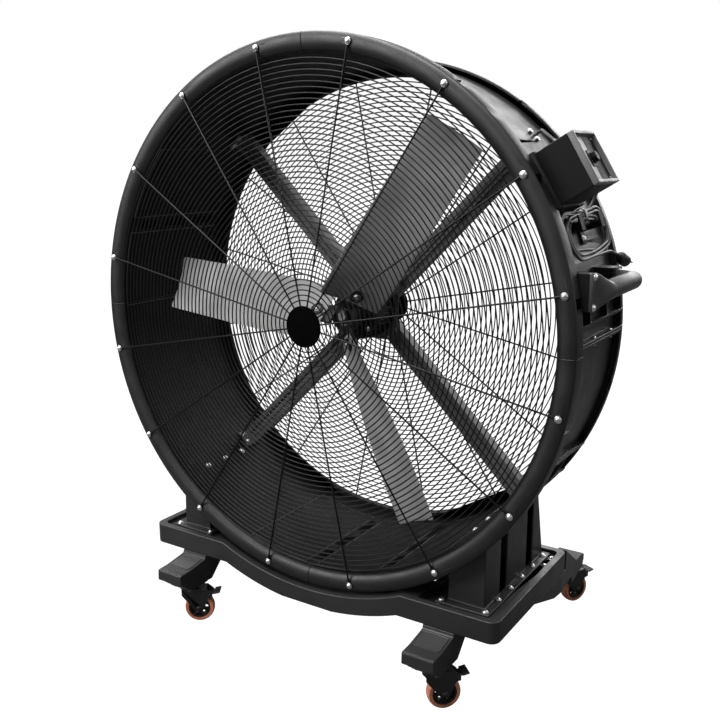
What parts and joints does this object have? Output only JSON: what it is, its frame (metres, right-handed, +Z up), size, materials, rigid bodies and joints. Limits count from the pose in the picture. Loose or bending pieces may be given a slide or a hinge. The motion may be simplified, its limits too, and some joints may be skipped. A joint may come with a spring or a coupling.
{
  "type": "wheeled drum fan",
  "caption": "Large drum fan in a bolted black shell between wire guards, on a moulded base with braked swivel casters, a speed control box and a coiled mains cord.",
  "frame": {"origin": "centre of the bounding box's floor rectangle, on the floor under the tyres", "axes": "+X to the right as seen from the outlet, +Y from the outlet guard to the back, +Z up"},
  "size_m": [1.746, 1.0053, 1.883],
  "materials": {
    "drum_shell": "fine moulded texture",
    "bolts": "zinc plated",
    "guard_wire": "satin powder coat",
    "frame_steel": "satin paint",
    "motor_body": "satin paint on cast housing",
    "bare_steel": "bright",
    "hub_steel": "satin paint",
    "blade": "matt mill finish",
    "base_plastic": "fine moulded texture",
    "caster_steel": "satin paint",
    "wheel_core": "moulded",
    "tyre": "moulded polyurethane",
    "box_plastic": "moulded",
    "panel": "moulded",
    "bracket_steel": "satin paint",
    "handle_plastic": "ribbed grip",
    "cord": "satin",
    "plug": "moulded"
  },
  "bodies": {
    "frame": {"drum_quarter_upper_right": "drum_shell", "drum_quarter_upper_left": "drum_shell", "drum_quarter_lower_left": "drum_shell", "drum_quarter_lower_right": "drum_shell", "drum_bolts": "bolts", "front_guard_frame": "guard_wire", "front_guard_rings": "guard_wire", "rear_guard_frame": "guard_wire", "rear_guard_rings": "guard_wire", "guard_bolts": "bolts", "frame_arms": "frame_steel", "frame_plate": "frame_steel", "frame_bolts": "bolts", "motor_housing": "motor_body", "motor_cover": "motor_body", "motor_bearings": "bare_steel", "motor_cable": "cord", "base_tray": "base_plastic", "front_leg_right": "base_plastic", "front_leg_left": "base_plastic", "back_leg_right": "base_plastic", "back_leg_left": "base_plastic", "pedestal_right": "base_plastic", "pedestal_left": "base_plastic", "base_bolts": "bolts", "caster_plates": "caster_steel", "control_box": "box_plastic", "control_panel": "panel", "control_bracket": "bracket_steel", "handle_right": "handle_plastic", "handle_left": "handle_plastic", "cord_hooks": "bracket_steel", "cord_gland": "box_plastic", "mains_lead": "cord", "mains_hank": "cord", "mains_tail": "cord", "mains_plug": "plug"},
    "rotor": {"motor_shaft": "bare_steel", "fan_hub": "hub_steel", "fan_blade_1": "blade", "fan_blade_2": "blade", "fan_blade_3": "blade", "blade_bolts": "bare_steel"},
    "knob": {"speed_knob": "box_plastic"},
    "swivel_fr": {"caster_fr_fork": "caster_steel"},
    "wheel_fr": {"caster_fr_wheel": "wheel_core", "caster_fr_tyre": "tyre"},
    "pedal_fr": {"caster_fr_pedal": "caster_steel"},
    "swivel_fl": {"caster_fl_fork": "caster_steel"},
    "wheel_fl": {"caster_fl_wheel": "wheel_core", "caster_fl_tyre": "tyre"},
    "pedal_fl": {"caster_fl_pedal": "caster_steel"},
    "swivel_br": {"caster_br_fork": "caster_steel"},
    "wheel_br": {"caster_br_wheel": "wheel_core", "caster_br_tyre": "tyre"},
    "pedal_br": {"caster_br_pedal": "caster_steel"},
    "swivel_bl": {"caster_bl_fork": "caster_steel"},
    "wheel_bl": {"caster_bl_wheel": "wheel_core", "caster_bl_tyre": "tyre"},
    "pedal_bl": {"caster_bl_pedal": "caster_steel"}
  },
  "joints": [
    {"name": "fan_spin", "type": "hinge", "parent": "frame", "child": "rotor", "pos_m": [0, -0.132, 1.062], "axis": [0, 1, 0], "continuous": true},
    {"name": "speed_knob_turn", "type": "hinge", "parent": "frame", "child": "knob", "pos_m": [0.75032, -0.228, 1.5218], "axis": [0.8526, 0, 0.5225], "range_deg": [0, 270]},
    {"name": "caster_fr_swivel", "type": "hinge", "parent": "frame", "child": "swivel_fr", "pos_m": [0.467, -0.409, 0.12], "axis": [0, 0, 1], "continuous": true},
    {"name": "caster_fr_roll", "type": "hinge", "parent": "swivel_fr", "child": "wheel_fr", "pos_m": [0.49104, -0.38496, 0.05], "axis": [-0.7071, 0.7071, 0], "continuous": true},
    {"name": "caster_fr_brake", "type": "hinge", "parent": "swivel_fr", "child": "pedal_fr", "pos_m": [0.5165, -0.3595, 0.097], "axis": [-0.7071, 0.7071, 0], "range_deg": [0, 18]},
    {"name": "caster_fl_swivel", "type": "hinge", "parent": "frame", "child": "swivel_fl", "pos_m": [-0.467, -0.409, 0.12], "axis": [0, 0, 1], "continuous": true},
    {"name": "caster_fl_roll", "type": "hinge", "parent": "swivel_fl", "child": "wheel_fl", "pos_m": [-0.43849, -0.39048, 0.05], "axis": [-0.5446, 0.8387, 0], "continuous": true},
    {"name": "caster_fl_brake", "type": "hinge", "parent": "swivel_fl", "child": "pedal_fl", "pos_m": [-0.40829, -0.37088, 0.097], "axis": [-0.5446, 0.8387, 0], "range_deg": [0, 18]},
    {"name": "caster_br_swivel", "type": "hinge", "parent": "frame", "child": "swivel_br", "pos_m": [0.575, 0.3988, 0.12], "axis": [0, 0, 1], "continuous": true},
    {"name": "caster_br_roll", "type": "hinge", "parent": "swivel_br", "child": "wheel_br", "pos_m": [0.59096, 0.42882, 0.05], "axis": [-0.8829, 0.4695, 0], "continuous": true},
    {"name": "caster_br_brake", "type": "hinge", "parent": "swivel_br", "child": "pedal_br", "pos_m": [0.60786, 0.4606, 0.097], "axis": [-0.8829, 0.4695, 0], "range_deg": [0, 18]},
    {"name": "caster_bl_swivel", "type": "hinge", "parent": "frame", "child": "swivel_bl", "pos_m": [-0.575, 0.3988, 0.12], "axis": [0, 0, 1], "continuous": true},
    {"name": "caster_bl_roll", "type": "hinge", "parent": "swivel_bl", "child": "wheel_bl", "pos_m": [-0.55314, 0.42484, 0.05], "axis": [-0.766, 0.6428, 0], "continuous": true},
    {"name": "caster_bl_brake", "type": "hinge", "parent": "swivel_bl", "child": "pedal_bl", "pos_m": [-0.53, 0.45242, 0.097], "axis": [-0.766, 0.6428, 0], "range_deg": [0, 18]}
  ]
}
